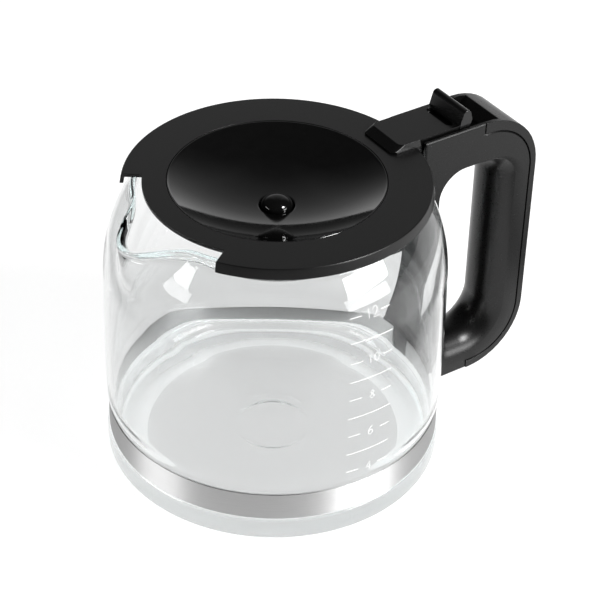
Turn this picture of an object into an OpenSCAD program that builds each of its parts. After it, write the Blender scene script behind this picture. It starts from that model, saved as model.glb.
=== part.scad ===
// Glass drip-coffee carafe: a borosilicate jug with a pouring lip, a steel belly band that
// clamps the handle, a two-piece hollow handle, and a dished brew-through lid that a thumb
// lever tips open. The origin is the centre of the flat base. +X points at the handle, the
// pouring lip points at -X, and +Z is up.

/* [Jug] */
// Outer radius of the steel band, the widest cylinder of the jug
band_r = 75; // [74:0.5:76]
// Height of the glass rim
rim_z = 136; // [135:0.5:137]
// Outer radius of the glass rim
rim_r = 62.6; // [62:0.1:63]
// Thickness of the glass wall
glass_t = 2.3; // [1.8:0.1:2.8]
// Thickness of the glass base
base_t = 4; // [3:0.5:5]
// Height of the lower edge of the steel band
band_z0 = 12; // [11:0.5:13]
// Height of the steel band from edge to edge
band_h = 13.3; // [12:0.1:14]
// Thickness of the steel band
band_t = 0.5; // [0.4:0.05:0.55]

/* [Lid] */
// Height of the lid's flat rim
lid_z = 138; // [137.5:0.1:138.5]
// Outer radius of the lid at its top edge
lid_r = 66.5; // [66:0.1:67]
// Radius of the dish at its upper edge
dish_r = 47.2; // [46:0.2:48]
// Depth of the dish down to the edge of its drip hole
dish_depth = 13.2; // [12:0.1:14]
// Radius of the drip hole
drip_r = 7.6; // [7.5:0.1:8]
// Half of the angle of the cut-out over the pouring lip
notch_half = 35; // [30:1:38]
// Radius of the lid inside the cut-out
notch_r = 57.6; // [57:0.2:59]
// How far the valve is pushed down to open
valve_travel = 4; // [3:0.5:4]

/* [Handle] */
// Half of the width of the handle
handle_w = 14.1; // [13.5:0.1:14.5]
// Distance from the jug's axis to the back of the handle
handle_x = 132.7; // [130:0.5:134]
// Height of the top of the handle
handle_z1 = 139.8; // [139:0.1:140.2]
// Height of the bottom of the handle
handle_z0 = 2.8; // [2:0.2:4]
// Radius of the handle's two outer bends
bend_r = 30; // [28:1:31]
// Distance from the jug's axis to the front of the grip
grip_x = 112.8; // [112:0.1:114]
// Height of the pivot pin of the lid
pin_z = 132.5; // [132:0.1:133]
// Distance from the jug's axis to the pivot pin
pin_x = 80; // [79.5:0.1:80.5]
// Radius of the pivot pin
pin_r = 1.5; // [1.25:0.25:1.5]

/* [Lever] */
// Height of the top of the lever plate
lever_z = 141.4; // [141:0.1:142]
// Distance from the jug's axis to the front edge of the lever plate
lever_x0 = 56.5; // [56:0.5:58]
// Height of the ridge of the thumb tab
tab_z = 148.2; // [147:0.1:149]

/* [Hidden] */
$fn = 96;
slack = 0.05;              // running clearance of the pivot and of the valve stem
fit_gap = 0.6;             // space between the glass and the front of the handle
cheek_in = 12;             // half of the gap between the two cheeks of the handle
seam_x0 = 101.5;           // where the back cover starts and ends
seam_in = 3;               // thickness of the back cover along the grip
seam_top = 5.4;            // thickness of the back cover over the top bend
seam_low = 4;              // thickness of the back cover under the bottom bend
opening_r = 13.5;          // corner radius of the finger opening
opening_x0 = 78.5;         // front of the finger opening, behind the handle's thin spine
opening_z0 = 20.6;         // bottom of the finger opening
opening_z1 = 119.5;        // top of the finger opening
shell_t = 2.4;             // wall of the hollow grip
floor_z = 122;             // floor of the lever recess
shelf_z = 126.2;           // shelf in front of the recess, below the pivot
recess_x1 = 110;           // back edge of the thumb recess
shoulder_z = 93;           // where the barrel turns into the shoulder
shoulder_r = 73.4;         // radius of the shoulder's arc
barrel_x = 75.3;           // glass radius at the start of the shoulder
foot_x = 75.8;             // largest radius of the glass foot
foot_round = 3;            // radius of the foot's lower edge
neck_z = 110;              // height where the glass wall starts to thicken towards the neck
neck_extra = 2.9;          // how much thicker it is 20 mm higher up
plate_t = 1.6;             // thickness of the lid's flat rim
ring_z = lid_z - plate_t;
dish_z = lid_z - dish_depth;
dish_ball = (dish_r * dish_r - drip_r * drip_r) / (2 * dish_depth);
valve_z = dish_z - 5.6;    // height where the valve's seal meets the drip hole's collar
cage_z = valve_z - 9.2;     // underside of the valve's cage
stem_r = 2;
band_lug_x = 85.5;         // outer end of the band's two lugs
lug_z = band_z0 + 0.6;     // lower edge of the lugs
lug_h = 7.4;               // height of the lugs, kept below the finger opening
lug_y = 5;                 // half of the gap between the lugs
screw_x = 83;              // axis of the band screw
cover_screw_x = 108;       // axis of the cover's screw
hook_screw_x = 75;         // axis of the rim hook's screw
grip_depth = 13;           // depth of the half-round front of the grip
screw_z = lug_z + lug_h / 2;

// Points of an arc about [cx, cy] from angle a0 to angle a1.
function arc(cx, cy, r, a0, a1, n = 12) =
    [for (i = [0:n]) let (a = a0 + (a1 - a0) * i / n) [cx + r * cos(a), cy + r * sin(a)]];

// Height of the dish's upper face at radius r.
function dish_top(r) = dish_z + (r * r - drip_r * drip_r) / (2 * dish_ball);

// Radius of the glass outside at height z, above the band.
function glass_x(z) = z < shoulder_z
    ? barrel_x + 0.6 - 0.6 * pow((z - 57) / (shoulder_z - 57), 2)
    : barrel_x - shoulder_r + sqrt(shoulder_r * shoulder_r - pow(z - shoulder_z, 2));

// Radius of the glass inside at height z, above the band.
function inner_x(z) = max(rim_r - glass_t,
    glass_x(z) - glass_t - neck_extra * pow(max(0, z - neck_z) / 20, 2));

// Outline of the glass outside, grown by g.
function glass_outline(g) = concat(
    [[0, -g]],
    arc(foot_x - foot_round, foot_round, foot_round + g, -90, 0, 8),
    [[foot_x + g - 0.3, band_z0 - 1], [band_r - band_t + g, band_z0 - 0.05],
     [band_r - band_t + g, band_z0 + band_h + 0.05]],
    [for (z = [band_z0 + band_h + 1.2 : 4 : rim_z - 1]) [glass_x(z) + g, z]],
    [[rim_r + g, rim_z], [0, rim_z]]);

// Outline of the space inside the jug.
inner_outline = concat(
    [[0, base_t]],
    arc(foot_x - glass_t - 9, base_t + 9, 9, -90, -20, 8),
    [[band_r - band_t - glass_t, band_z0 + 4], [band_r - band_t - glass_t, band_z0 + band_h]],
    [for (z = [band_z0 + band_h + 4 : 4 : rim_z - 2]) [inner_x(z), z]],
    [[rim_r - glass_t, rim_z + 1], [0, rim_z + 1]]);

// Body of revolution of the jug, grown by g.
module jug_solid(g) {
    rotate_extrude() polygon(glass_outline(g));
}

// Rounded pouring lip: balls of radius r less inset t, one at the tip, two at the sides of
// the rim and one low on the shoulder.
module lip(t) {
    hull() {
        translate([-73.2, 0, rim_z - 4.8]) sphere(r = 4.9 - t, $fn = 32);
        translate([-57.4, 15, rim_z]) sphere(r = 5.2 - t, $fn = 32);
        translate([-57.4, -15, rim_z]) sphere(r = 5.2 - t, $fn = 32);
        translate([-63, 0, rim_z - 29]) sphere(r = 9.6 - t, $fn = 32);
    }
}

module glass_jug() {
    color([0.86, 0.92, 0.92, 0.35])
    difference() {
        union() {
            jug_solid(0);
            lip(0);
        }
        rotate_extrude() polygon(inner_outline);
        lip(glass_t);
        // the rim is level, and falls away over the lip
        translate([0, 0, rim_z]) cylinder(r = 90, h = 20);
        translate([-57.7, -40, rim_z]) rotate([0, -17, 0]) translate([-40, 0, 0]) cube([40, 80, 20]);
    }
}

module base_band() {
    color([0.72, 0.72, 0.71])
    difference() {
        union() {
            translate([0, 0, band_z0]) cylinder(r = band_r, h = band_h);
            for (side = [-1, 1])
                translate([band_r - 1, side * (lug_y + band_t / 2) - band_t / 2, lug_z])
                    cube([band_lug_x - band_r + 1, band_t, lug_h]);
        }
        translate([0, 0, band_z0 - 1]) cylinder(r = band_r - band_t, h = band_h + 2);
        // the handle's tongue sits between the two ends, and the screw draws them onto it
        translate([band_r - 3, -lug_y, band_z0 - 1]) cube([4, 2 * lug_y, band_h + 2]);
        translate([screw_x, 0, screw_z]) rotate([90, 0, 0]) cylinder(r = 1.6, h = 20, center = true);
    }
}

// Threaded brass insert that the band screw pulls against.
module band_nut() {
    color([0.75, 0.6, 0.3])
    translate([screw_x, -lug_y - 1, screw_z]) rotate([90, 0, 0])
        difference() {
            cylinder(r = 2.6, h = 6);
            translate([0, 0, -1]) cylinder(r = 1.5, h = 8);
        }
}

module band_screw() {
    color([0.7, 0.7, 0.72])
    translate([screw_x, 0, screw_z]) rotate([-90, 0, 0])
        difference() {
            union() {
                translate([0, 0, -11]) cylinder(r = 1.5, h = 21);
                translate([0, 0, 10]) cylinder(r = 2.8, h = 2);
            }
            for (turn = [0, 90])
                rotate([0, 0, turn]) translate([-1.6, -0.35, 11]) cube([3.2, 0.7, 2]);
        }
}

// Steel strip that hooks over the glass rim and is screwed to the handle's shelf.
module rim_hook() {
    strip = 0.7;
    in_x = rim_r - glass_t - 0.4;
    out_x = rim_r + 0.5;
    top = rim_z + 0.15;
    color([0.7, 0.7, 0.72])
    difference() {
        translate([0, 6, 0]) rotate([90, 0, 0]) linear_extrude(12)
            polygon([[in_x - strip, rim_z - 6], [in_x, rim_z - 6], [in_x, top], [out_x, top],
                     [out_x + 5.2, shelf_z], [78, shelf_z], [78, shelf_z + strip],
                     [out_x + 5.6, shelf_z + strip], [out_x + strip, top + strip],
                     [in_x - strip, top + strip]]);
        translate([hook_screw_x, 0, shelf_z - 1]) cylinder(r = 1.6, h = 4);
    }
}

module hook_screw() {
    color([0.7, 0.7, 0.72])
    translate([hook_screw_x, 0, shelf_z + 0.7])
        difference() {
            union() {
                translate([0, 0, -9]) cylinder(r = 1.5, h = 9);
                cylinder(r = 2.6, h = 1.2);
            }
            for (turn = [0, 90])
                rotate([0, 0, turn]) translate([-1.5, -0.3, 0.6]) cube([3, 0.6, 1]);
        }
}

// Side outline of the whole handle.
module handle_outline() {
    polygon(concat(
        [[60, handle_z1]],
        arc(handle_x - bend_r, handle_z1 - bend_r, bend_r, 90, 0),
        arc(handle_x - bend_r, handle_z0 + bend_r, bend_r, 0, -90),
        [[60, handle_z0]]));
}

// Side outline of what lies inside the back cover, grown by g.
module seam_outline(g) {
    r = bend_r - 4.4;
    cx = handle_x - seam_in - r;
    polygon(concat(
        [[60, handle_z1 - seam_top + g]],
        arc(cx, handle_z1 - seam_top - r, r + g, 90, 0),
        arc(cx, handle_z0 + seam_low + r, r + g, 0, -90),
        [[60, handle_z0 + seam_low - g]]));
}

// Side outline of the finger opening, grown by g.
module opening_outline(g) {
    x0 = opening_x0 + opening_r;
    x1 = grip_x - opening_r;
    z0 = opening_z0 + opening_r;
    z1 = opening_z1 - opening_r;
    r = opening_r + g;
    polygon(concat(arc(x1, z1, r, 0, 90), arc(x0, z1, r, 90, 180),
                   arc(x0, z0, r, 180, 270), arc(x1, z0, r, 270, 360)));
}

// Lays a side outline across the handle, from -half to half.
module across(half) {
    translate([0, half, 0]) rotate([90, 0, 0]) linear_extrude(2 * half) children();
}

// Side outline of the recess between the cheeks: the sweep of the thumb tab, and the
// ramp behind it.
module recess_outline() {
    intersection() {
        union() {
            translate([pin_x, pin_z]) circle(r = 21.8);
            polygon([[50, pin_z - 0.5], [101.4, pin_z - 0.5], [recess_x1, handle_z1 - 0.6],
                     [recess_x1, 170], [50, 170]]);
        }
        union() {
            translate([86, floor_z]) square([60, 40]);
            translate([40, shelf_z]) square([60, 40]);
        }
        square([recess_x1, 200]);
    }
}

// Hollow of the grip and of the lower arm, open to the back cover, g behind the opening.
module hollow_outline(g) {
    difference() {
        translate([96, handle_z0]) square([40, 113]);
        opening_outline(g);
        translate([90, 92]) square([grip_x + g - 90, 40]);
    }
}

module handle_body() {
    color([0.09, 0.09, 0.09])
    difference() {
        across(handle_w)
            difference() {
                union() {
                    seam_outline(0);
                    intersection() {
                        handle_outline();
                        translate([60, 0]) square([seam_x0 - 60, 200]);
                    }
                }
                opening_outline(0);
            }
        jug_solid(fit_gap);
        // the cheeks stop clear of the lid's rim
        translate([40, -20, shelf_z]) cube([68.6 - 40, 40, 40]);
        across(cheek_in) recess_outline();
        across(7.5) hollow_outline(shell_t + 2.6);
        across(11) hollow_outline(shell_t + 6.8);
        // blind holes for the pivot pin
        translate([pin_x, 0, pin_z]) rotate([90, 0, 0]) cylinder(r = pin_r, h = 26.4, center = true);
        // slots for the band's lugs, with the holes for the screw and its insert
        for (side = [-1, 1])
            translate([70, side * (lug_y + 0.4) - 0.5, lug_z - 0.4])
                cube([band_lug_x - 69.4, 1, lug_h + 0.8]);
        translate([screw_x, -lug_y - 1, screw_z]) rotate([-90, 0, 0]) cylinder(r = 1.6, h = 20);
        translate([screw_x, 10, screw_z]) rotate([-90, 0, 0]) cylinder(r = 3.1, h = 12);
        translate([screw_x, -lug_y - 0.5, screw_z]) rotate([90, 0, 0]) cylinder(r = 2.6, h = 6.6);
        translate([hook_screw_x, 0, shelf_z - 9]) cylinder(r = 1.5, h = 12);
        grip_rounding();
    }
    // boss that takes the cover's screw
    color([0.09, 0.09, 0.09])
    translate([cover_screw_x, 0, handle_z0 + seam_low])
        difference() {
            cylinder(r = 3.4, h = opening_z0 - handle_z0 - seam_low - 1);
            translate([0, 0, -1]) cylinder(r = 1.2, h = 11);
        }
}

// Section of what is taken off the grip to make its front half-round; x runs into the grip.
module rounding_section() {
    difference() {
        translate([-1, -handle_w - 1]) square([grip_depth + 1, 2 * handle_w + 2]);
        translate([handle_w, 0]) circle(r = handle_w);
    }
}

// The rounding follows the grip, the lower bend and the lower arm, and starts in the upper bend.
module grip_rounding() {
    x1 = grip_x - opening_r;
    z0 = opening_z0 + opening_r;
    z1 = opening_z1 - opening_r;
    translate([grip_x, 0, z0]) linear_extrude(z1 - z0) rounding_section();
    translate([x1, 0, z0]) rotate([90, 0, 0]) rotate([0, 0, -90])
        rotate_extrude(angle = 90) translate([opening_r, 0]) rounding_section();
    translate([x1, 0, z1]) rotate([90, 0, 0])
        rotate_extrude(angle = 40) translate([opening_r, 0]) rounding_section();
    translate([opening_x0 + opening_r, 0, opening_z0]) rotate([0, 90, 0])
        linear_extrude(x1 - opening_x0 - opening_r) rounding_section();
}

module handle_cover() {
    color([0.1, 0.1, 0.1])
    difference() {
        across(handle_w)
            difference() {
                intersection() {
                    handle_outline();
                    translate([seam_x0 + 0.1, 0]) square([60, 200]);
                }
                seam_outline(0.1);
            }
        // mouth of the thumb recess
        across(cheek_in) recess_outline();
        translate([cover_screw_x, 0, handle_z0 - 1]) cylinder(r = 1.5, h = 10);
        translate([cover_screw_x, 0, handle_z0 - 1]) cylinder(r = 3, h = 2.9);
    }
}

// Screw that holds the cover from below, under the lower arm.
module cover_screw() {
    color([0.25, 0.25, 0.26])
    translate([cover_screw_x, 0, handle_z0 + 1.9])
        difference() {
            union() {
                cylinder(r = 1.2, h = 11);
                translate([0, 0, -1.4]) cylinder(r = 2.8, h = 1.4);
            }
            for (turn = [0, 90])
                rotate([0, 0, turn]) translate([-1.6, -0.3, -1.7]) cube([3.2, 0.6, 1]);
        }
}

module hinge_pin() {
    color([0.75, 0.75, 0.77])
    translate([pin_x, 0, pin_z]) rotate([90, 0, 0]) cylinder(r = pin_r, h = 26.2, center = true);
}

// Wedge-shaped outline, of half angle a about -X, outside radius r0.
module lip_sector(a, r0) {
    difference() {
        polygon([[0, 0], [-120, 120 * tan(a)], [-120, -120 * tan(a)]]);
        circle(r = r0);
    }
}

module lid_rim() {
    tail_w = cheek_in - 0.8;
    color([0.12, 0.12, 0.12])
    difference() {
        union() {
            rotate_extrude(convexity = 4)
                polygon([[dish_r + 0.1, ring_z], [dish_r + 0.1, lid_z], [lid_r - 0.3, lid_z],
                         [lid_r + 0.1, lid_z - 0.4], [lid_r + 0.8, lid_z - 4.7],
                         [lid_r - 0.9, lid_z - 4.7], [lid_r - 1.3, ring_z]]);
            // tail between the cheeks, and the knuckle on the pivot pin
            translate([62, -tail_w, lid_z - 3.4]) cube([24, 2 * tail_w, 3.4]);
            translate([pin_x, 0, pin_z]) rotate([90, 0, 0])
                cylinder(r = 3.6, h = 2 * tail_w, center = true);
        }
        // cut-out over the pouring lip
        translate([0, 0, lid_z - 10]) linear_extrude(20) lip_sector(notch_half, notch_r);
        // the skirt leaves the cheeks free
        translate([40, cheek_in, lid_z - 10]) cube([40, 5, 10 - plate_t]);
        translate([40, -cheek_in - 5, lid_z - 10]) cube([40, 5, 10 - plate_t]);
        translate([40, -cheek_in - 1, lid_z - 10]) cube([28, 2 * cheek_in + 2, 10 - plate_t]);
        // relief for the hook on the glass rim
        translate([56, -6.6, lid_z - 3]) cube([12, 13.2, 2.1]);
        translate([pin_x, 0, pin_z]) rotate([90, 0, 0])
            cylinder(r = pin_r + slack, h = 40, center = true);
        for (side = [-1, 1])
            translate([73, side * 7, lid_z - 6]) cylinder(r = 1.3, h = 10);
    }
}

module lid_dish() {
    n = 14;
    sheet = 1.8;
    lip_r = dish_r + 7;
    color([0.03, 0.03, 0.03])
    rotate_extrude(convexity = 6)
        polygon(concat(
            [for (i = [0:n]) let (r = drip_r + (dish_r - drip_r) * i / n) [r, dish_top(r)]],
            [[dish_r, ring_z - 0.05], [lip_r, ring_z - 0.05], [lip_r, ring_z - 1.4]],
            [for (i = [n:-1:3]) let (r = drip_r + (dish_r - drip_r) * i / n) [r, dish_top(r) - sheet]],
            // ring that the valve cage is welded to
            [[13, dish_top(13) - sheet], [13, dish_z - 2.6], [10.8, dish_z - 2.6],
             [10.8, dish_top(10.8) - sheet]],
            // collar around the drip hole
            [[drip_r + 1.8, dish_top(9) - sheet], [drip_r + 1.8, valve_z], [drip_r, valve_z]]));
}

module lid_lever() {
    half = cheek_in - 0.9;
    color([0.1, 0.1, 0.1])
    difference() {
        union() {
            // chamfered head of the plate, over the lid's rim
            hull() {
                translate([lever_x0 - 2.1, -half - 0.4, lid_z + 0.05]) cube([13, 2 * half + 0.8, 0.9]);
                translate([lever_x0 - 4.3, -half + 1.5, lid_z + 0.05]) cube([13, 2 * half - 3, 0.9]);
                for (side = [-1, 1])
                    translate([lever_x0 + 3, side * (half - 3), lid_z + 0.05])
                        cylinder(r = 3, h = lever_z - lid_z - 0.05, $fn = 32);
                translate([66, -half, lid_z + 0.05]) cube([1, 2 * half, lever_z - lid_z - 0.05]);
            }
            translate([66, -half, lid_z + 0.05]) cube([27, 2 * half, lever_z - lid_z - 0.05]);
            // thumb tab
            across(cheek_in - 0.5)
                polygon(concat([[88.3, lid_z + 0.6], [88.6, lever_z]],
                               arc(92.2, tab_z - 2.1, 2.1, 170, 20, 8),
                               [[95.2, tab_z - 5], [94.6, lever_z], [93, lid_z + 0.6]]));
        }
        // oval finger pocket in front of the tab
        translate([85.9, 0, lever_z - 2.2])
            union() {
                translate([-2, -6.4, 0]) cube([4, 12.8, 5]);
                for (side = [-1, 1])
                    translate([0, side * 6.4, 0]) cylinder(r = 2, h = 5);
            }
        for (side = [-1, 1])
            translate([73, side * 7, lid_z - 1]) cylinder(r = 1.2, h = 3.4);
    }
}

// Two screws that hold the lever on the lid's tail, from below.
module lever_screws() {
    color([0.7, 0.7, 0.72])
    for (side = [-1, 1])
        translate([73, side * 7, lid_z - 3.4])
            difference() {
                union() {
                    cylinder(r = 1.2, h = 5.6);
                    translate([0, 0, -1.4]) cylinder(r = 2.3, h = 1.4);
                }
                for (turn = [0, 90])
                    rotate([0, 0, turn]) translate([-1.4, -0.25, -1.6]) cube([2.8, 0.5, 0.8]);
            }
}

// Basket under the drip hole that guides the valve's stem and carries its spring.
module valve_cage() {
    color([0.14, 0.14, 0.14])
    difference() {
        translate([0, 0, cage_z]) cylinder(r = 13, h = dish_z - 2.65 - cage_z);
        translate([0, 0, cage_z + 1.6]) cylinder(r = 11.4, h = 20);
        translate([0, 0, cage_z - 1]) cylinder(r = stem_r + slack, h = 4);
        // windows that the coffee runs out of
        for (turn = [0:60:300])
            rotate([0, 0, turn]) translate([9, -4, cage_z + 1.6]) cube([6, 8, 6]);
        for (turn = [30:60:330])
            rotate([0, 0, turn]) translate([8.2, 0, cage_z - 1]) cylinder(r = 1.7, h = 4);
    }
}

// Points of one ring of a coil spring's wire at turn angle a and height z.
function ring_points(a, z, coil_r, wire_r, sides) =
    [for (k = [0:sides - 1]) let (b = 360 * k / sides)
        [(coil_r + wire_r * cos(b)) * cos(a), (coil_r + wire_r * cos(b)) * sin(a), z + wire_r * sin(b)]];

module valve_spring() {
    sides = 8;
    steps = 44;
    turns = 2.75;
    wire_r = 0.35;
    coil_r = 4.4;
    z0 = cage_z + 1.6 + wire_r + 0.05;
    z1 = valve_z - 1.9 - wire_r - 0.05;
    points = [for (i = [0:steps])
        each ring_points(360 * turns * i / steps, z0 + (z1 - z0) * i / steps, coil_r, wire_r, sides)];
    walls = [for (i = [0:steps - 1], k = [0:sides - 1])
        let (a = i * sides + k, b = i * sides + (k + 1) % sides)
            each [[a, a + sides, b + sides], [a, b + sides, b]]];
    ends = [[for (k = [0:sides - 1]) k], [for (k = [sides - 1:-1:0]) steps * sides + k]];
    color([0.75, 0.75, 0.77]) polyhedron(points = points, faces = concat(walls, ends));
}

// Domed plug in the drip hole, with its stem and the flange that carries the seal.
module drip_valve() {
    dome_r = drip_r - 0.6;
    dome_h = 5;
    n = 12;
    color([0.02, 0.02, 0.02])
    rotate_extrude(convexity = 4)
        polygon(concat(
            [[0, cage_z - 4.4], [stem_r, cage_z - 4.4], [stem_r, valve_z - 1.9], [9.2, valve_z - 1.9],
             [9.2, valve_z - 1.1], [dome_r - 1.4, valve_z - 1.1], [dome_r - 1.4, dish_z - 2],
             [dome_r, dish_z - 1]],
            [for (i = [0:n]) let (a = 90 * i / n) [dome_r * cos(a), dish_z - 0.6 + dome_h * sin(a)]]));
}

module valve_seal() {
    color([0.2, 0.2, 0.2])
    translate([0, 0, valve_z - 1.1])
        difference() {
            cylinder(r = 9.2, h = 1.08);
            translate([0, 0, -1]) cylinder(r = drip_r - 2, h = 4);
        }
}

glass_jug();
base_band();
band_nut();
band_screw();
rim_hook();
hook_screw();
handle_body();
handle_cover();
cover_screw();
hinge_pin();
lid_rim();
lid_dish();
lid_lever();
lever_screws();
valve_cage();
valve_spring();
drip_valve();
valve_seal();
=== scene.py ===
"""Looks of the glass drip-coffee carafe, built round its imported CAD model.

Helpers work in millimetres and turn into metres in new_mesh(). The frame is the CAD's own: the origin
is the centre of the base, +X points at the handle, the pouring lip at -X, and +Z is up.
"""

from math import asin, cos, degrees, pi, radians, sin, sqrt

import bmesh
import bpy
from mathutils import Matrix, Vector


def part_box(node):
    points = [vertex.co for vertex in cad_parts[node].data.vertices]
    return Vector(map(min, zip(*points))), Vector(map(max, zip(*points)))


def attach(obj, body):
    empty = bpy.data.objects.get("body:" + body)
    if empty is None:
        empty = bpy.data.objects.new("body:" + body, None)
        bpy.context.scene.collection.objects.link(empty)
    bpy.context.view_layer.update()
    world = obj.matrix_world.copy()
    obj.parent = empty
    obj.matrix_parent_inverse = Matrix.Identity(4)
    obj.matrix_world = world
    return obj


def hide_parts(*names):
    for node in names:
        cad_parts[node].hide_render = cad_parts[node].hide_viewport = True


MM = 0.001

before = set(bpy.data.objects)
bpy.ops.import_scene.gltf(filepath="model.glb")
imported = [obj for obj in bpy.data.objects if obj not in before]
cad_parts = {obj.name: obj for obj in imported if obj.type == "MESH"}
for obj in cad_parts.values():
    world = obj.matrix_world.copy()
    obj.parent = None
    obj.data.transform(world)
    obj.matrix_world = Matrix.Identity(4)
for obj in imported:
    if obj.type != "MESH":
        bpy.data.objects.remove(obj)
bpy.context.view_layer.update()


def low_corner(node):
    """Lowest corner of a CAD node's box, in millimetres."""
    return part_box(node)[0] / MM


def high_corner(node):
    """Highest corner of a CAD node's box, in millimetres."""
    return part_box(node)[1] / MM


# ---------------------------------------------------------------------------------------------
# Sizes in millimetres, read from the CAD's boxes where these give them
# ---------------------------------------------------------------------------------------------
RIM_Z = high_corner("glass_jug").z     # height of the glass rim
RIM_R = 62.6                           # outer radius of the glass rim
FOOT_R = high_corner("glass_jug").y    # largest radius of the glass foot
FOOT_ROUND = 3.2                       # rounding of the foot's lower edge
GLASS_T = 2.3                          # thickness of the glass wall
BASE_T = 4.0                           # thickness of the glass base
BASE_ROUND = 13.0                      # rounding between the base and the wall, inside
NECK_Z, NECK_EXTRA = 110.0, 2.9        # height where the wall starts to thicken, and its gain
NECK_RISE = 20.0                       # height in which it gains that
BARREL_X, BARREL_Z = 75.3, 57.0        # radius below the shoulder, and height of the widest place
BARREL_SWELL = 0.6                     # how much wider the barrel is there
SHOULDER_Z, SHOULDER_R = 93.0, 73.4    # where the shoulder starts to bend in, and its radius

BAND_R = -low_corner("base_band").x    # outer radius of the steel band
BAND_T = 0.5                           # thickness of the steel band
BAND_Z0, BAND_Z1 = low_corner("base_band").z, high_corner("base_band").z
BAND_END_X = high_corner("base_band").x  # end of the band's two lugs

LIP_OUT = 15.5                         # how far the pouring lip stands out of the rim
LIP_DROP = 6.0                         # how far it falls below the rim
LIP_HALF = 26.0                        # half of its width at the rim
LIP_LOW_SHARE = 0.62                   # its width where it starts, as a share of that
LIP_Z0 = 104.0                         # height where it starts to swell out of the shoulder

LID_Z = high_corner("lid_rim").z       # height of the lid's flat rim
PLATE_T = 1.6                          # thickness of the lid's flat rim
DISH_R = 47.2                          # radius of the dish at its upper edge
DISH_LOW_Z = low_corner("lid_dish").z  # lower end of the collar round the drip hole
DISH_Z = 124.8                         # height of the edge of the drip hole
DRIP_R = 7.6                           # radius of the drip hole
# Radius of the dish's curve, which runs from the drip hole up to the flat rim
DISH_BALL = (DISH_R ** 2 - DRIP_R ** 2) / (2 * (LID_Z - DISH_Z))
VALVE_LOW_Z = low_corner("drip_valve").z    # lower end of the valve's stem
VALVE_HIGH_Z = high_corner("drip_valve").z  # top of its dome

HANDLE_W = high_corner("handle_body").y  # half of the width of the handle
HANDLE_X = high_corner("handle_cover").x  # back of the handle
HANDLE_Z0, HANDLE_Z1 = low_corner("handle_cover").z, high_corner("handle_cover").z
# Axis of the lid's hinge
PIN_X = (low_corner("hinge_pin").x + high_corner("hinge_pin").x) / 2
PIN_Z = (low_corner("hinge_pin").z + high_corner("hinge_pin").z) / 2
CHEEK_IN = 12.0                        # half of the gap between the two cheeks


def glass_x(z):
    """Radius of the glass outside at height z, above the band."""
    if z < SHOULDER_Z:
        away = (z - BARREL_Z) / (SHOULDER_Z - BARREL_Z)
        return BARREL_X + BARREL_SWELL * (1 - away ** 2)
    return BARREL_X - SHOULDER_R + sqrt(SHOULDER_R ** 2 - (z - SHOULDER_Z) ** 2)


def inner_x(z):
    """Radius of the glass inside at height z, above the band: the wall thickens to the neck."""
    wall = GLASS_T + NECK_EXTRA * (max(0, z - NECK_Z) / NECK_RISE) ** 2
    return max(RIM_R - GLASS_T, glass_x(z) - wall)


def dish_top(r):
    """Height of the dish's upper face at radius r, a parabola up from the drip hole."""
    return DISH_Z + (r * r - DRIP_R ** 2) / (2 * DISH_BALL)


# ---------------------------------------------------------------------------------------------
# Mesh helpers
# ---------------------------------------------------------------------------------------------
def arc(cx, cy, r, a0, a1, n=8):
    """Points of an arc about (cx, cy) from angle a0 to a1, in degrees."""
    steps = [radians(a0 + (a1 - a0) * i / n) for i in range(n + 1)]
    return [(cx + r * cos(a), cy + r * sin(a)) for a in steps]


def smooth(x):
    """0 below 0, 1 above 1, and a smooth step in between."""
    x = min(1.0, max(0.0, x))
    return x * x * (3 - 2 * x)


def new_mesh(name, points, faces, sharp=38):
    """Object with a closed mesh, welded, its normals outward and its sharp edges marked."""
    mesh = bpy.data.meshes.new(name)
    mesh.from_pydata([[c * MM for c in p] for p in points], [], faces)
    bm = bmesh.new()
    bm.from_mesh(mesh)
    bmesh.ops.remove_doubles(bm, verts=bm.verts, dist=1e-6)
    bmesh.ops.recalc_face_normals(bm, faces=bm.faces)
    bm.to_mesh(mesh)
    bm.free()
    mesh.shade_smooth()
    mesh.set_sharp_from_angle(angle=radians(sharp))
    obj = bpy.data.objects.new(name, mesh)
    bpy.context.scene.collection.objects.link(obj)
    return obj


def skin(loops, closed=False, ring=True):
    """Points and faces of a skin over loops of the same number of points.

    The last loop is joined to the first if closed, and else both are capped. Each loop is a ring,
    or else an open line.
    """
    n = len(loops[0])
    points = [p for loop in loops for p in loop]
    faces = []
    for i in range(len(loops) if closed else len(loops) - 1):
        a, b = i * n, ((i + 1) % len(loops)) * n
        for k in range(n if ring else n - 1):
            j = (k + 1) % n
            faces.append((a + k, a + j, b + j, b + k))
    if not closed:
        faces.append(tuple(reversed(range(n))))
        faces.append(tuple(range((len(loops) - 1) * n, len(loops) * n)))
    return points, faces


def revolve(name, profile, steps=192, ring=True, bend=None, sharp=38):
    """Turns a profile of (radius, height) about the Z axis; bend moves each point.

    ring is False for a profile that starts and ends on the axis.
    """
    loops = []
    for i in range(steps):
        a = 2 * pi * i / steps
        loop = [(r * cos(a), r * sin(a), z) for r, z in profile]
        loops.append([bend(*p) for p in loop] if bend else loop)
    return new_mesh(name, *skin(loops, closed=True, ring=ring), sharp=sharp)


def settle(obj):
    """Replaces the object's mesh by what its modifiers make of it."""
    bpy.context.view_layer.update()
    graph = bpy.context.evaluated_depsgraph_get()
    mesh = bpy.data.meshes.new_from_object(obj.evaluated_get(graph))
    obj.modifiers.clear()
    obj.data = mesh


def carve(obj, cutter):
    """Cuts the cutter out of obj, and removes the cutter."""
    mod = obj.modifiers.new("carve", "BOOLEAN")
    mod.operation, mod.object, mod.solver = "DIFFERENCE", cutter, "EXACT"
    settle(obj)
    bpy.data.objects.remove(cutter)


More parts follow.
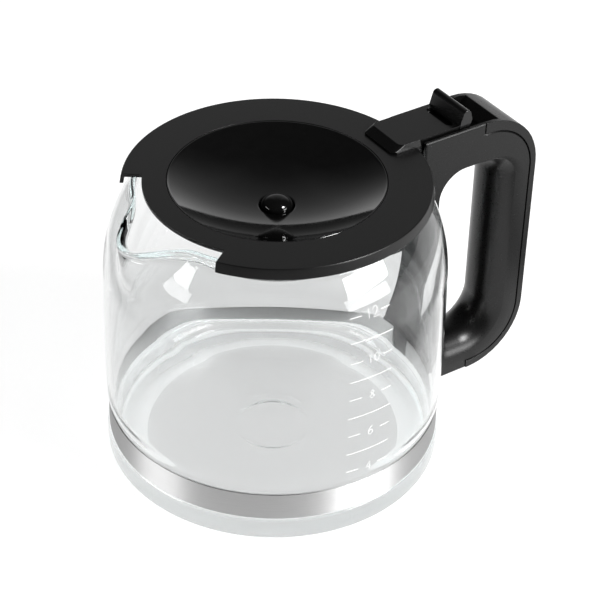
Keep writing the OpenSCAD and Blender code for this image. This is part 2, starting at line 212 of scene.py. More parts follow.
def round_edges(obj, width, segments, angle, crease=None):
    """Rounds the edges that are sharper than angle, in degrees.

    Edges sharper than crease, or than angle if there is none, are shaded as sharp.
    """
    bm = bmesh.new()
    bm.from_mesh(obj.data)
    bmesh.ops.remove_doubles(bm, verts=bm.verts, dist=2e-6)
    bmesh.ops.dissolve_limit(bm, angle_limit=radians(0.4), verts=bm.verts, edges=bm.edges)
    bm.to_mesh(obj.data)
    bm.free()
    mod = obj.modifiers.new("round", "BEVEL")
    mod.width, mod.segments, mod.limit_method = width * MM, segments, "ANGLE"
    mod.angle_limit, mod.miter_outer = radians(angle), "MITER_ARC"
    settle(obj)
    obj.data.shade_smooth()
    obj.data.set_sharp_from_angle(angle=radians(crease or angle))
    level = obj.modifiers.new("level", "WEIGHTED_NORMAL")
    level.keep_sharp = True
    settle(obj)


def across(name, outline, y0, y1):
    """Prism with a side outline of (x, z) points, from y0 to y1."""
    return new_mesh(name, *skin([[(x, y, z) for x, z in outline] for y in (y0, y1)]))


def rounded_copy(node, width, segments, angle):
    """New piece with a CAD node's shape and rounded edges."""
    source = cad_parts[node]
    points = [tuple(v.co / MM) for v in source.data.vertices]
    faces = [tuple(p.vertices) for p in source.data.polygons]
    obj = new_mesh(node + "_shape", points, faces)
    round_edges(obj, width, segments, angle)
    return obj


# ---------------------------------------------------------------------------------------------
# Materials
# ---------------------------------------------------------------------------------------------
WHITE = (1, 1, 1, 1)


def new_material(name, **constants):
    """Material and its Principled shader, with constants set on the shader's own sockets."""
    mat = bpy.data.materials.new(name)
    mat.use_nodes = True
    shader = mat.node_tree.nodes["Principled BSDF"]
    for key, value in constants.items():
        shader.inputs[key.replace("_", " ")].default_value = value
    return mat, shader


def add_node(owner, kind, links=None, **values):
    """Adds a node to a material or world.

    links maps an input to (node, output), and values set inputs or properties.
    """
    node = owner.node_tree.nodes.new(kind)
    for key, value in values.items():
        if hasattr(node, key):
            setattr(node, key, value)
        else:
            node.inputs[key.replace("_", " ")].default_value = value
    for key, (source, output) in (links or {}).items():
        link(owner, source, output, node, key)
    return node


def link(owner, source, output, target, socket):
    """Links an output of one node to an input of another."""
    owner.node_tree.links.new(source.outputs[output], target.inputs[socket])


def combine(owner, operation, *inputs):
    """Math node; each input is a number or a (node, output)."""
    node = add_node(owner, "ShaderNodeMath", operation=operation)
    for k, value in enumerate(inputs):
        if isinstance(value, tuple):
            link(owner, *value, node, k)
        else:
            node.inputs[k].default_value = value
    return node


def ramp(owner, source, output, stops):
    """Colour ramp driven by a node's output; stops are (place, grey)."""
    node = add_node(owner, "ShaderNodeValToRGB", {"Fac": (source, output)})
    elements = node.color_ramp.elements
    while len(elements) < len(stops):
        elements.new(0.5)
    for element, (place, grey) in zip(elements, stops):
        element.position, element.color = place, (grey, grey, grey, 1)
    return node


def grain(mat, shader, scale, strength, distance, rough, stretch=(1, 1, 1), detail=4.0, fine=0.6):
    """Noise that bumps the surface and varies its roughness between rough's two values.

    scale, detail and fine are the noise's, strength and distance (in metres) the bump's.
    """
    coords = add_node(mat, "ShaderNodeTexCoord")
    place = add_node(mat, "ShaderNodeMapping", {"Vector": (coords, "Object")}, Scale=stretch)
    noise = add_node(mat, "ShaderNodeTexNoise", {"Vector": (place, "Vector")},
                     Scale=scale, Detail=detail, Roughness=fine)
    level = ramp(mat, noise, "Fac", [(0.3, rough[0]), (0.7, rough[1])])
    link(mat, level, "Color", shader, "Roughness")
    bump = add_node(mat, "ShaderNodeBump", {"Height": (noise, "Fac")},
                    Strength=strength, Distance=distance)
    link(mat, bump, "Normal", shader, "Normal")
    return noise


def plastic(name, grey, rough, scale, strength, distance, level=0.5):
    """Moulded black plastic with a fine grain; level scales its reflections."""
    mat, shader = new_material(name, Base_Color=(grey, grey, grey * 1.02, 1), IOR=1.5,
                               Specular_IOR_Level=level)
    noise = grain(mat, shader, scale, strength, distance, rough)
    tone = ramp(mat, noise, "Fac", [(0.3, grey * 0.85), (0.7, grey * 1.15)])
    link(mat, tone, "Color", shader, "Base Color")
    return mat


def metal(name, grey, rough, scale, strength, stretch=(1, 1, 1), aniso=0.0, lift=0.0):
    """Metal with drawn or brushed marks along the axes where stretch is small.

    lift is a faint glow that stands for the light that reaches a face behind the glass.
    """
    mat, shader = new_material(name, Base_Color=(grey, grey, grey * 0.985, 1), Metallic=1.0,
                               Anisotropic=aniso, Emission_Color=WHITE,
                               Emission_Strength=lift)
    noise = grain(mat, shader, scale, strength, 0.00004, rough, stretch, detail=6.0)
    tone = ramp(mat, noise, "Fac", [(0.25, grey * 0.9), (0.75, grey)])
    link(mat, tone, "Color", shader, "Base Color")
    if aniso:
        around = add_node(mat, "ShaderNodeTangent", direction_type="RADIAL", axis="Z")
        link(mat, around, "Tangent", shader, "Tangent")
        shader.inputs["Anisotropic Rotation"].default_value = 0.25
    return mat


def glass_material(name, rough, shade_grey=0.835, lift=0.0):
    """Clear glass, faintly teal where the light runs a long way through it; its grey base colour is
    painted shade that dims what is seen through it.

    lift is a faint glow that stands for the light that gathers in a stippled face.
    """
    mat, shader = new_material(name, Base_Color=(shade_grey, shade_grey + 0.005, shade_grey + 0.005, 1), IOR=1.47,
                               Emission_Color=WHITE, Emission_Strength=lift)
    shader.inputs["Transmission Weight"].default_value = 1.0
    grain(mat, shader, 26.0, 0.035, 0.0006, rough, detail=1.0, fine=0.3)
    absorb = add_node(mat, "ShaderNodeVolumeAbsorption")
    absorb.inputs["Color"].default_value = (0.55, 0.82, 0.82, 1)
    absorb.inputs["Density"].default_value = 2.5
    link(mat, absorb, "Volume", mat.node_tree.nodes["Material Output"], "Volume")
    return mat


def print_material():
    """White enamel print with slightly uneven cover."""
    mat, shader = new_material("white_print", Base_Color=(0.93, 0.93, 0.93, 1), IOR=1.5)
    noise = grain(mat, shader, 900.0, 0.1, 0.00002, (0.35, 0.5))
    tone = ramp(mat, noise, "Fac", [(0.3, 0.82), (0.7, 0.95)])
    link(mat, tone, "Color", shader, "Base Color")
    return mat


# Painted shade: the glass's grey base colour dims all that is seen through it.
GLASS = glass_material("borosilicate", (0.0, 0.012))
# Painted light: the foot ring's glow and its lighter grey; its roughness is the stipple.
RING_GLASS = glass_material("stippled_ring_painted_glow", (0.55, 0.65), shade_grey=0.99, lift=0.21)
PRINT = print_material()
MATTE = plastic("matte_black", 0.005, (0.27, 0.34), 2600.0, 0.16, 0.00008, level=0.38)
SATIN = plastic("satin_black", 0.003, (0.26, 0.32), 1500.0, 0.03, 0.00004, level=0.36)
POLISHED = plastic("polished_lever", 0.003, (0.15, 0.21), 900.0, 0.03, 0.00004)
GLOSS = plastic("gloss_black", 0.003, (0.05, 0.09), 260.0, 0.02, 0.00006, level=0.6)
SCREW_BLACK = plastic("black_oxide", 0.03, (0.3, 0.42), 1800.0, 0.2, 0.00005, level=0.8)
SILICONE = plastic("silicone", 0.10, (0.45, 0.55), 500.0, 0.15, 0.00008)
BRUSHED = dict(rough=(0.46, 0.54), scale=90.0, strength=0.25, stretch=(1, 1, 34), aniso=0.93)
STEEL = metal("brushed_steel", 0.68, **BRUSHED)
# Painted light: a brighter copy of the brushed steel, with a faint glow, for the band's face against the
# glass.
STEEL_INSIDE_PAINTED_LIGHT = metal("steel_inside_painted_light", 0.98, **BRUSHED, lift=0.10)
CHROME = metal("plated_screw", 0.78, (0.12, 0.24), 700.0, 0.15)
SPRING = metal("spring_wire", 0.66, (0.2, 0.32), 500.0, 0.2, (1, 1, 6))
BRASS = metal("brass_insert", 0.6, (0.25, 0.4), 600.0, 0.25)


SECOND_MATERIAL = 1           # index of a material that is added after the one from dress()


def dress(obj, mat, body, slot, *nodes):
    """Gives a new piece its material and its body, and hides the CAD nodes it replaces; slot is not
    used.
    """
    obj.data.materials.clear()
    obj.data.materials.append(mat)
    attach(obj, body)
    if nodes:
        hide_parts(*nodes)


# ---------------------------------------------------------------------------------------------
# Jug: glass, print
# ---------------------------------------------------------------------------------------------
GROOVE_R = BAND_R - BAND_T - 0.05   # radius of the groove that the band lies in
MARK_R = 16.7                 # radius of the faint ring in the middle of the base
HEIGHT_STEP = 2.5             # between the points of the jug's curved sides
STIPPLE_R, STIPPLE_Z = 60.0, 1.2  # the stippled ring lies outside this radius, below this height


def lip_bend(x, y, z):
    """Draws the pouring lip out of the round jug, towards -X, and lets it fall."""
    depth = (z - LIP_Z0) / (RIM_Z - LIP_Z0)
    if depth <= 0 or x > 0:
        return x, y, z
    half = LIP_HALF * (LIP_LOW_SHARE + (1 - LIP_LOW_SHARE) * smooth(depth))
    if abs(y) >= half:
        return x, y, z
    swell = cos(pi * y / (2 * half)) ** 2
    return x - LIP_OUT * swell * depth ** 1.35, y, z - LIP_DROP * swell * depth ** 3


def jug_underside():
    """Points of (radius, height) from the middle of the underside to the foot's outer edge."""
    middle, mark = 0.9, 1.15
    points = [(0, middle), (12, middle), (MARK_R - 1.1, middle), (MARK_R - 0.3, mark),
              (MARK_R + 0.5, mark), (MARK_R + 1.3, middle), (30, middle), (45, middle),
              (58, middle - 0.05), (63, 0.6), (66.5, 0.2), (69, 0.02), (70.5, 0)]
    return points + arc(FOOT_R - FOOT_ROUND, FOOT_ROUND, FOOT_ROUND, -90, 0, 10)


def jug_outside():
    """Points from the foot up the outside, through the band's groove, and over the rim."""
    top = BAND_Z1 + 3
    points = [(FOOT_R - 0.03, 6), (FOOT_R - 0.12, 8.5), (FOOT_R - 0.25, 10.4), (FOOT_R - 0.55, 11.2),
              (GROOVE_R + 0.3, BAND_Z0 - 0.15), (GROOVE_R, BAND_Z0 + 0.1),
              (GROOVE_R, BAND_Z0 + 5), (GROOVE_R, BAND_Z1 - 4), (GROOVE_R, BAND_Z1 + 0.05),
              (GROOVE_R + 0.2, BAND_Z1 + 0.35), (GROOVE_R + 0.6, BAND_Z1 + 1), (glass_x(top), top)]
    z = top + 3
    while z < RIM_Z - 2.2:
        points.append((glass_x(z), z))
        z += HEIGHT_STEP
    points.append((RIM_R - 0.1, RIM_Z - 1.6))
    return points + arc(RIM_R - 1.1, RIM_Z - 1.05, 1.05, 0, 180, 8)


def jug_inside():
    """Points from the rim down the inside to the middle of the base."""
    inner = GROOVE_R - GLASS_T
    points = [(RIM_R - 2.25, RIM_Z - 1.8)]
    z = RIM_Z - 4
    while z > BAND_Z1 + 5:
        points.append((inner_x(z), z))
        z -= HEIGHT_STEP
    points += [(inner + 0.45, BAND_Z1 + 3), (inner + 0.05, BAND_Z1), (inner, BAND_Z1 - 4),
               (inner, BAND_Z0 + 5)]
    points += arc(inner - BASE_ROUND, BASE_T + BASE_ROUND, BASE_ROUND, 0, -90, 20)[1:]
    return points + [(50, BASE_T), (35, BASE_T), (19, BASE_T), (MARK_R + 0.9, BASE_T),
                     (MARK_R, BASE_T + 0.22), (MARK_R - 0.9, BASE_T), (8, BASE_T), (0, BASE_T)]


def build_jug():
    """Glass jug; the ring it stands on is stippled, and has painted light: a glow and a lighter grey
    than the rest of the glass.
    """
    profile = jug_underside() + jug_outside() + jug_inside()
    jug = revolve("jug_glass", profile, steps=288, ring=False, bend=lip_bend, sharp=60)
    dress(jug, GLASS, "jug", "glass", "glass_jug")
    jug.data.materials.append(RING_GLASS)
    for face in jug.data.polygons:
        x, y, z = face.center / MM
        if z < STIPPLE_Z and sqrt(x * x + y * y) > STIPPLE_R:
            face.material_index = SECOND_MATERIAL


def on_glass(azimuth, z, proud):
    """Point that stands proud of the glass outside, at an azimuth in degrees and height z."""
    r = glass_x(z) + proud
    return r * cos(radians(azimuth)), r * sin(radians(azimuth)), z


def print_stroke(points, width):
    """Four-sided loops of a printed stroke along points of (azimuth in degrees, height)."""
    loops = []
    for i, (a, z) in enumerate(points):
        a0, z0 = points[max(0, i - 1)]
        a1, z1 = points[min(len(points) - 1, i + 1)]
        r = glass_x(z)
        along = Vector((radians(a1 - a0) * r, z1 - z0)).normalized()
        da, dz = degrees(-along.y * width / 2 / r), along.x * width / 2
        loops.append([on_glass(a - da, z - dz, PRINT_BACK), on_glass(a + da, z + dz, PRINT_BACK),
                      on_glass(a + da, z + dz, PRINT_FACE), on_glass(a - da, z - dz, PRINT_FACE)])
    return loops


PRINT_BACK, PRINT_FACE = 0.01, 0.06  # how far the two faces of the print stand off the glass
TICK_HEIGHTS = [33.5, 43.4, 53.3, 63.1, 72.9, 82.3, 91.9, 102.1, 113.3]
TICK_WIDTH, DIGIT_WIDTH = 0.42, 0.34  # widths of the printed lines
# Starts and ends of the lines, in degrees left of the scale's right end
LONG_TICK = [(0, 16)]
SHORT_TICKS = [(0, 3.8), (11.4, 15.8)]
SCALE_AZ = -83.1              # azimuth of the right end of the scale
DIGIT_AZ = -90.6              # azimuth of the middle of the numerals
DIGIT_HIGH, DIGIT_WIDE, DIGIT_GAP = 4.4, 2.3, 1.1
# Strokes of each numeral, in shares of its width and height from its lower left corner
DIGITS = {
    "0": [[(0.5, 0), (0.1, 0.2), (0, 0.5), (0.1, 0.8), (0.5, 1), (0.9, 0.8), (1, 0.5), (0.9, 0.2),
           (0.5, 0)]],
    "1": [[(0.2, 0.8), (0.6, 1), (0.6, 0.5), (0.6, 0)]],
    "2": [[(0, 0.8), (0.25, 1), (0.75, 1), (1, 0.75), (0.7, 0.4), (0, 0), (1, 0)]],
    "4": [[(0.8, 0), (0.8, 0.5), (0.8, 1), (0, 0.28), (0.5, 0.28), (1, 0.28)]],
    "6": [[(0.85, 1), (0.3, 0.75), (0, 0.35), (0.2, 0.05), (0.6, 0), (1, 0.25), (0.8, 0.55),
           (0.4, 0.55), (0.05, 0.35)]],
    "8": [[(0.5, 0.55), (0.1, 0.75), (0.5, 1), (0.9, 0.75), (0.5, 0.55), (0, 0.27), (0.5, 0),
           (1, 0.27), (0.5, 0.55)]],
}


def print_points(strokes, width):
    """Points and faces of several printed strokes."""
    points, faces = [], []
    for stroke in strokes:
        more, sides = skin(print_stroke(stroke, width))
        faces += [tuple(k + len(points) for k in f) for f in sides]
        points += more
    return points, faces


def build_ticks():
    """Cup marks: long lines, and between them short pairs that leave room for a numeral."""
    strokes = []
    for i, z in enumerate(TICK_HEIGHTS):
        for a0, a1 in LONG_TICK if i % 2 else SHORT_TICKS:
            n = max(2, round(a1 - a0))
            strokes.append([(SCALE_AZ - a0 - (a1 - a0) * k / n, z) for k in range(n + 1)])
    ticks = new_mesh("cup_marks", *print_points(strokes, TICK_WIDTH))
    dress(ticks, PRINT, "jug", None)


def build_numerals():
    """Numbers of cups, on the short marks."""
    strokes = []
    for label, z in zip(("4", "6", "8", "10", "12"), TICK_HEIGHTS[::2]):
        start = -(len(label) * DIGIT_WIDE + (len(label) - 1) * DIGIT_GAP) / 2
        for k, digit in enumerate(label):
            left = start + k * (DIGIT_WIDE + DIGIT_GAP)
            for stroke in DIGITS[digit]:
                at = [(left + u * DIGIT_WIDE, z + (v - 0.5) * DIGIT_HIGH) for u, v in stroke]
                strokes.append([(DIGIT_AZ + degrees(u / glass_x(v)), v) for u, v in at])
    numerals = new_mesh("cup_numerals", *print_points(strokes, DIGIT_WIDTH))
    dress(numerals, PRINT, "jug", None)


# ---------------------------------------------------------------------------------------------
# Lid: rim, dish, lever, valve
# ---------------------------------------------------------------------------------------------
def build_dish():
    """Glossy dish with its rolled edge, flange, weld ring and the collar round the drip hole."""
    sheet, ring_z = 1.8, LID_Z - PLATE_T
    flange_r, weld_r0, weld_r1 = DISH_R + 7, 10.8, 13.0
    weld_z, collar_r = DISH_Z - 2.6, DRIP_R + 1.8
    hole_edge = [(DRIP_R, DISH_Z - 0.75), (DRIP_R + 0.08, DISH_Z - 0.4),
                 (DRIP_R + 0.25, DISH_Z - 0.1)]
    first, last, n = DRIP_R + 0.5, DISH_R - 0.9, 56
    bowl = [(r, dish_top(r)) for r in [first + (last - first) * i / n for i in range(n + 1)]]
    rolled_edge = [(DISH_R - 0.55, LID_Z - 0.2), (DISH_R - 0.25, LID_Z - 0.22),
                   (DISH_R - 0.06, LID_Z - 0.4), (DISH_R, LID_Z - 0.7)]
    flange = [(DISH_R, ring_z - 0.05), (flange_r, ring_z - 0.05), (flange_r, ring_z - 1.4)]
    last, n = weld_r1 + 0.2, 24
    under = [(r, dish_top(r) - sheet) for r in [DISH_R - (DISH_R - last) * i / n for i in range(n + 1)]]
    weld_ring = [(weld_r1, dish_top(weld_r1) - sheet), (weld_r1, weld_z), (weld_r0, weld_z),
                 (weld_r0, dish_top(weld_r0) - sheet)]
    collar = [(collar_r, dish_top(collar_r - 0.4) - sheet), (collar_r, DISH_LOW_Z), (DRIP_R, DISH_LOW_Z)]
    dish = revolve("dish_gloss", hole_edge + bowl + rolled_edge + flange + under + weld_ring + collar)
    dress(dish, GLOSS, "lid", "black_gloss", "lid_dish")


def build_valve():
    """Domed drip plug with its stem and flange."""
    dome_r, dome_z, n = DRIP_R - 0.6, DISH_Z - 0.6, 18
    stem_r, flange_r, neck_r = 2.0, 9.2, dome_r - 1.4
    flange_z0, flange_z1 = DISH_LOW_Z - 1.9, DISH_LOW_Z - 1.1
    points = [(0, VALVE_LOW_Z), (stem_r - 0.4, VALVE_LOW_Z), (stem_r, VALVE_LOW_Z + 0.4),
              (stem_r, flange_z0), (flange_r - 0.2, flange_z0), (flange_r, flange_z0 + 0.2),
              (flange_r, flange_z1), (neck_r, flange_z1), (neck_r, DISH_Z - 2), (dome_r, DISH_Z - 1)]
    for i in range(n + 1):
        a = pi / 2 * i / n
        points.append((dome_r * cos(a), dome_z + (VALVE_HIGH_Z - dome_z) * sin(a)))
    valve = revolve("valve_dome", points, steps=96, ring=False)
    dress(valve, GLOSS, "valve", "black_gloss", "drip_valve")


def build_lid_parts():
    """Rim and lever of the lid, with rounded edges."""
    rim = rounded_copy("lid_rim", 0.35, 3, 38)
    dress(rim, MATTE, "lid", "black_matte", "lid_rim")
    lever = rounded_copy("lid_lever", 0.55, 3, 20)
    dress(lever, POLISHED, "lid", "black_matte", "lid_lever")


# ---------------------------------------------------------------------------------------------
# Handle
# ---------------------------------------------------------------------------------------------
SEAM_X0 = low_corner("handle_cover").x     # where the back cover starts
SEAM_IN, SEAM_TOP, SEAM_LOW = 3.0, 5.4, 4.0  # thickness of the cover: behind, above and below
SEAM_R = 25.6                 # radius of the body's bends under the cover
FRONT_X = 68.6                # front edge of the handle's top, over the glass
FIT_GAP = 0.6                 # space between the glass and the front of the handle
GRIP_X = 112.8                # front of the grip at its sides
GRIP_DEPTH = 13.0             # depth of the half-round front of the grip
OPEN_X0, OPEN_Z0, OPEN_Z1 = 78.5, 20.6, 119.5  # front, lower and upper edge of the finger opening
OPEN_R = 13.5                 # radius of its corners
SHELF_Z, FLOOR_Z = 126.2, 122.0  # heights of the shelf under the lid's tail and of the recess
SHELF_X, RECESS_X = 86.0, 110.0  # back edges of the shelf and of the recess
TAB_SWEEP = 21.8              # radius that keeps clear of the lever's thumb tab
EDGE = 0.8                    # chamfer of the handle's side edges
LUG_Y = 5.0                   # half of the gap between the band's two lugs
LUG_Z0, LUG_Z1 = BAND_Z0 + 0.6, BAND_Z0 + 8.0  # lower and upper edge of the lugs
SCREW_X, SCREW_SEAT_Y = 83.0, 10.0             # axis of the band's screw, and where its head sits
SCREW_BORE_R = 3.1            # radius of the bore for its head


def jug_gap_x(z, y):
    """X of the surface that keeps FIT_GAP clear of the jug, at height z and offset y."""
    foot_z, above_band = 3, BAND_Z1 + 1.2
    behind_band = BAND_R - BAND_T + FIT_GAP
    fit = [(foot_z, FOOT_R + FIT_GAP), (BAND_Z0 - 1, FOOT_R + FIT_GAP - 0.3),
           (BAND_Z0 - 0.05, behind_band), (BAND_Z1 + 0.05, behind_band),
           (above_band, glass_x(above_band) + FIT_GAP)]
    if z < foot_z:
        r = FOOT_R - foot_z + sqrt((foot_z + FIT_GAP) ** 2 - (foot_z - z) ** 2)
    elif z >= fit[-1][0]:
        r = glass_x(z) + FIT_GAP
    else:
        (z0, r0), (z1, r1) = next(pair for pair in zip(fit, fit[1:]) if z < pair[1][0])
        r = r0 + (r1 - r0) * (z - z0) / (z1 - z0)
    return sqrt(r * r - y * y)


def inset_loop(loop, inset, y):
    """Moves each point of a loop inward along its normal, and lifts it to offset y."""
    following = loop[1:] + loop[:1]
    area = sum(x0 * z1 - x1 * z0 for (x0, z0), (x1, z1) in zip(loop, following))
    turn = 1 if area > 0 else -1
    out = []
    for i, (x, z) in enumerate(loop):
        a, b = loop[i - 1], following[i]
        d0 = Vector((x - a[0], z - a[1])).normalized()
        d1 = Vector((b[0] - x, b[1] - z)).normalized()
        normal = Vector((-(d0 + d1).y, (d0 + d1).x)).normalized() * turn
        scale = 1 / max(0.5, normal.dot(Vector((-d0.y, d0.x)) * turn))
        out.append((x + normal.x * inset * scale, y, z + normal.y * inset * scale))
    return out


def body_loop(y, inset):
    """Outline of the handle's body at offset y without its finger opening, drawn in by inset."""
    cx = HANDLE_X - SEAM_IN - SEAM_R
    top, low = HANDLE_Z1 - SEAM_TOP, HANDLE_Z0 + SEAM_LOW
    loop = [(SEAM_X0, HANDLE_Z1), (SEAM_X0, top)]
    loop += arc(cx, top - SEAM_R, SEAM_R, 90, 0, 16)
    loop += arc(cx, low + SEAM_R, SEAM_R, 0, -90, 16)
    loop += [(SEAM_X0, low), (SEAM_X0, HANDLE_Z0), (90, HANDLE_Z0)]
    beside_foot = [HANDLE_Z0, 4.2, 5.6, 8]
    beside_band = [BAND_Z0 - 1.1, BAND_Z0 - 0.05, 15, 20, BAND_Z1 + 0.05, BAND_Z1 + 1.2]
    beside_barrel = [32, 44, 56, 68, 80, 90]
    beside_shoulder = [97 + (SHELF_Z - 97) * i / 8 for i in range(9)]
    for z in beside_foot + beside_band + beside_barrel + beside_shoulder:
        loop.append((jug_gap_x(z, y), z))
    loop += [(FRONT_X, SHELF_Z), (FRONT_X, HANDLE_Z1)]
    return inset_loop(loop, inset, y)


def opening_loop(y, grow):
    """Outline of the finger opening at offset y, drawn out by grow.

    It is also wider towards the sides, where the front of the grip rounds away.
    """
    push = min(GRIP_DEPTH, HANDLE_W - sqrt(max(0.0, HANDLE_W ** 2 - y * y)))
    front, back = OPEN_X0 + OPEN_R, GRIP_X - OPEN_R
    low, high = OPEN_Z0 + OPEN_R, OPEN_Z1 - OPEN_R

    def bend(cx, cz, a0, n, share):
        """Quarter arc of the opening; share is the part of the rounding that reaches an angle."""
        points = []
        for i in range(n + 1):
            a = a0 + 90 * i / n
            r = OPEN_R + grow + push * share(a)
            points.append((cx + r * cos(radians(a)), y, cz + r * sin(radians(a))))
        return points

    grip = [(GRIP_X + grow + push, y, low + (high - low) * i / 12) for i in range(1, 12)]
    return (bend(front, low, 180, 14, lambda a: smooth((a - 215) / 50))
            + bend(back, low, 270, 14, lambda a: 1) + grip
            + bend(back, high, 0, 14, lambda a: 1 - smooth((a + 5) / 85))
            + bend(front, high, 90, 12, lambda a: 0))


def recess_outline():
    """Side outline of the space between the cheeks: shelf, thumb recess and the slope behind it."""
    front, above = 60, 160
    shelf = [(front, SHELF_Z), (SHELF_X, SHELF_Z), (SHELF_X, FLOOR_Z)]
    wall = arc(PIN_X, PIN_Z, TAB_SWEEP, degrees(asin((FLOOR_Z - PIN_Z) / TAB_SWEEP)), -3, 8)
    slope = [(103.6, 132.3), (109.2, 138), (RECESS_X, 139.2)]
    return shelf + wall + slope + [(RECESS_X, above), (front, above)]


def build_handle():
    """Handle's body, a loop with its cheeks, recess, lug slots and bore, and the cover behind it.

    Its rows are (offset y, how far the chamfer draws the outline in there).
    """
    rim = [(HANDLE_W, EDGE), (HANDLE_W - EDGE, 0.0)]
    half = rim + [((HANDLE_W - EDGE) * sin(pi / 2 * k / 14), 0.0) for k in range(13, -1, -1)]
    rows = half + [(-y, inset) for y, inset in reversed(half[:-1])]
    body = new_mesh("handle_shape", *skin([body_loop(y, inset) for y, inset in rows]))
    rows = [(HANDLE_W + 1, EDGE)] + rows + [(-HANDLE_W - 1, EDGE)]
    carve(body, new_mesh("opening", *skin([opening_loop(y, grow) for y, grow in rows])))
    carve(body, across("recess", recess_outline(), -CHEEK_IN, CHEEK_IN))
    inside, slot_x1, slot_z0, slot_z1 = 70, BAND_END_X + 0.6, LUG_Z0 - 0.4, LUG_Z1 + 0.4
    slot = [(inside, slot_z0), (slot_x1, slot_z0), (slot_x1, slot_z1), (inside, slot_z1)]
    for y in (LUG_Y - 0.1, -LUG_Y - 0.9):
        carve(body, across("slot", slot, y, y + 1))
    bore = arc(SCREW_X, (LUG_Z0 + LUG_Z1) / 2, SCREW_BORE_R, 0, 345, 23)
    carve(body, across("bore", bore, SCREW_SEAT_Y, HANDLE_W + 2))
    round_edges(body, 0.3, 2, 50, crease=40)
    dress(body, SATIN, "jug", "black_satin", "handle_body")
    cover = rounded_copy("handle_cover", 0.8, 4, 42)
    dress(cover, SATIN, "jug", "black_satin", "handle_cover")


# ---------------------------------------------------------------------------------------------
# Band
# ---------------------------------------------------------------------------------------------
def build_band():
    """Steel band with rounded edges; the face against the glass gets a brighter copy of the steel with a
    faint glow, which is painted light.
    """
    band = rounded_copy("base_band", 0.12, 2, 50)
    dress(band, STEEL, "jug", "steel", "base_band")
    band.data.materials.append(STEEL_INSIDE_PAINTED_LIGHT)
    for face in band.data.polygons:
        outward = Vector((face.center.x, face.center.y, 0)).normalized()
        faces_glass = face.normal.dot(outward) < -0.7
        if faces_glass:
            face.material_index = SECOND_MATERIAL


# ---------------------------------------------------------------------------------------------
# CAD nodes that are shown as they are
# ---------------------------------------------------------------------------------------------
def dress_nodes():
    """Gives the hidden metal and rubber parts, and the valve's cage, their materials."""
    finishes = {"band_nut": BRASS, "band_screw": CHROME, "rim_hook": STEEL,
                "hook_screw": CHROME, "cover_screw": SCREW_BLACK,
                "hinge_pin": CHROME, "lever_screws": CHROME, "valve_cage": MATTE,
                "valve_spring": SPRING, "valve_seal": SILICONE}
    for name, mat in finishes.items():
        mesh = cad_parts[name].data
        mesh.materials.clear()
        mesh.materials.append(mat)


# ---------------------------------------------------------------------------------------------
# Studio, in metres
# ---------------------------------------------------------------------------------------------
CAMERA_AZ = -33.8
CAMERA_EL = 36.359            # elevation of the view
CAMERA_PLACE = (-0.40946, -0.61165, 0.61614)
CAMERA_TURN, CAMERA_ROLL = -0.8616, 1.604  # degrees, that bring the object to its place in the view
LENS = 123.8                  # millimetres
LIGHT_DISTANCE = 1.5
LIGHT_TARGET = Vector((0, 0, 0.08))
BACKDROP_TURN = -4            # degrees from behind the object to the middle of the bright backdrop


def shade_along(mat, place, axis, stops):
    """Grey ramp along one axis of the floor; stops are (metres, grey)."""
    first, last = stops[0][0], stops[-1][0]
    span = add_node(mat, "ShaderNodeMapRange", {"Value": (place, axis)}, From_Min=first, From_Max=last)
    return ramp(mat, span, "Result", [((at - first) / (last - first), grey) for at, grey in stops])


def floor_material():
    """Pale paper with a glow of its own that falls off a little past the view, in dark stripes.

    The stripes are what the steel band and the lid reflect. Their distance from the middle grows
    with the distance from the camera, as the view does.
    """
    mat, shader = new_material("pale_floor", Base_Color=(0.35, 0.35, 0.35, 1), Roughness=0.9)
    shader.inputs["Emission Color"].default_value = WHITE
    coords = add_node(mat, "ShaderNodeTexCoord")
    place = add_node(mat, "ShaderNodeSeparateXYZ", {"Vector": (coords, "Object")})
    spread = combine(mat, "MULTIPLY_ADD", (place, "Y"), 0.84, 1.0)
    widening = combine(mat, "MAXIMUM", (spread, "Value"), 0.6)
    sideways = combine(mat, "DIVIDE", (place, "X"), (widening, "Value"))
    sides = shade_along(mat, sideways, "Value",
                        [(-0.25, 0.4), (-0.205, 0.25), (-0.16, 1), (0.157, 1), (0.184, 0.05),
                         (0.205, 0.08), (0.265, 0.75)])
    front = shade_along(mat, place, "Y", [(-0.23, 0.2), (-0.155, 1)])
    glow = combine(mat, "MULTIPLY", (sides, "Color"), (front, "Color"))
    bright = combine(mat, "MULTIPLY", (glow, "Value"), 0.9)
    link(mat, bright, "Value", shader, "Emission Strength")
    return mat


def build_floor():
    """Sheet of pale paper under the object, turned to face the camera."""
    size, drop = 3.0, 0.0003
    mesh = bpy.data.meshes.new("floor")
    mesh.from_pydata([(-size, -size, 0), (size, -size, 0), (size, size, 0), (-size, size, 0)], [],
                     [(0, 1, 2, 3)])
    mesh.materials.append(floor_material())
    floor = bpy.data.objects.new("floor", mesh)
    bpy.context.scene.collection.objects.link(floor)
    floor.location.z = -drop
    floor.rotation_euler.z = radians(CAMERA_AZ)


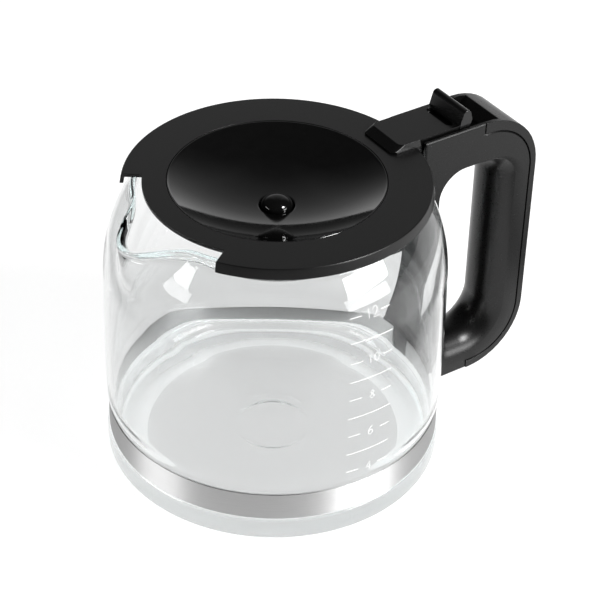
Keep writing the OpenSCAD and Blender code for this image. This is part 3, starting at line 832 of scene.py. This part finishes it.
def build_world():
    """Dark studio with a backdrop behind the object that is bright low down and fades upward."""
    world = bpy.data.worlds.new("studio")
    bpy.context.scene.world = world
    world.use_nodes = True
    coords = add_node(world, "ShaderNodeTexCoord")
    parts = add_node(world, "ShaderNodeSeparateXYZ", {"Vector": (coords, "Generated")})
    height = ramp(world, parts, "Z", [(0.08, 1.0), (0.22, 0.7), (0.34, 0.48), (0.5, 0.33),
                                      (0.64, 0.24), (0.77, 0.16), (0.86, 0.08), (0.95, 0.04)])
    level = add_node(world, "ShaderNodeVectorMath", {0: (coords, "Generated")}, operation="MULTIPLY")
    level.inputs[1].default_value = (1, 1, 0)
    heading = add_node(world, "ShaderNodeVectorMath", {0: (level, "Vector")}, operation="NORMALIZE")
    toward = add_node(world, "ShaderNodeVectorMath", {0: (heading, "Vector")},
                      operation="DOT_PRODUCT")
    a = radians(CAMERA_AZ + BACKDROP_TURN)
    toward.inputs[1].default_value = (-sin(a), cos(a), 0)
    behind = ramp(world, toward, "Value", [(0.6, 0.04), (0.80, 0.4), (0.92, 1.0)])
    both = combine(world, "MULTIPLY", (height, "Color"), (behind, "Color"))
    least = combine(world, "MAXIMUM", (both, "Value"), 0.04)
    background = world.node_tree.nodes["Background"]
    background.inputs["Color"].default_value = WHITE
    link(world, least, "Value", background, "Strength")


def area_light(name, azimuth, elevation, width, height, power):
    """Soft box that looks at the object; its azimuth is measured from the camera's side."""
    light = bpy.data.lights.new(name, "AREA")
    light.shape, light.size, light.size_y, light.energy = "RECTANGLE", width, height, power
    obj = bpy.data.objects.new(name, light)
    a, e = radians(CAMERA_AZ + azimuth), radians(elevation)
    back = Vector((sin(a) * cos(e), -cos(a) * cos(e), sin(e)))
    obj.location = LIGHT_TARGET + back * LIGHT_DISTANCE
    obj.rotation_euler = back.to_track_quat("Z", "Y").to_euler()
    bpy.context.scene.collection.objects.link(obj)


def build_lights():
    """Two long soft boxes low at the sides, and a small one high on the right."""
    area_light("soft_left", -72, 13, 0.85, 0.38, 9.5)
    area_light("soft_right", 62, 13, 0.84, 0.38, 12)
    area_light("spot_right", 61, 43, 0.34, 0.34, 20)


def build_camera():
    """Camera at the photo's viewpoint."""
    data = bpy.data.cameras.new("camera")
    data.lens, data.sensor_width = LENS, 36.0
    camera = bpy.data.objects.new("camera", data)
    turn = Matrix.Rotation(radians(CAMERA_AZ + CAMERA_TURN), 4, "Z")
    tilt = Matrix.Rotation(radians(90 - CAMERA_EL), 4, "X")
    roll = Matrix.Rotation(radians(CAMERA_ROLL), 4, "Z")
    camera.matrix_world = Matrix.Translation(CAMERA_PLACE) @ turn @ tilt @ roll
    bpy.context.scene.collection.objects.link(camera)
    bpy.context.scene.camera = camera


def set_rendering():
    """Plain colours, and enough bounces for light to cross the glass many times."""
    scene = bpy.context.scene
    scene.view_settings.view_transform = "Standard"
    scene.cycles.max_bounces = 32
    scene.cycles.glossy_bounces = 32
    scene.cycles.transmission_bounces = 32


build_jug()
build_ticks()
build_numerals()
build_dish()
build_valve()
build_lid_parts()
build_handle()
build_band()
dress_nodes()
build_floor()
build_world()
build_lights()
build_camera()
set_rendering()
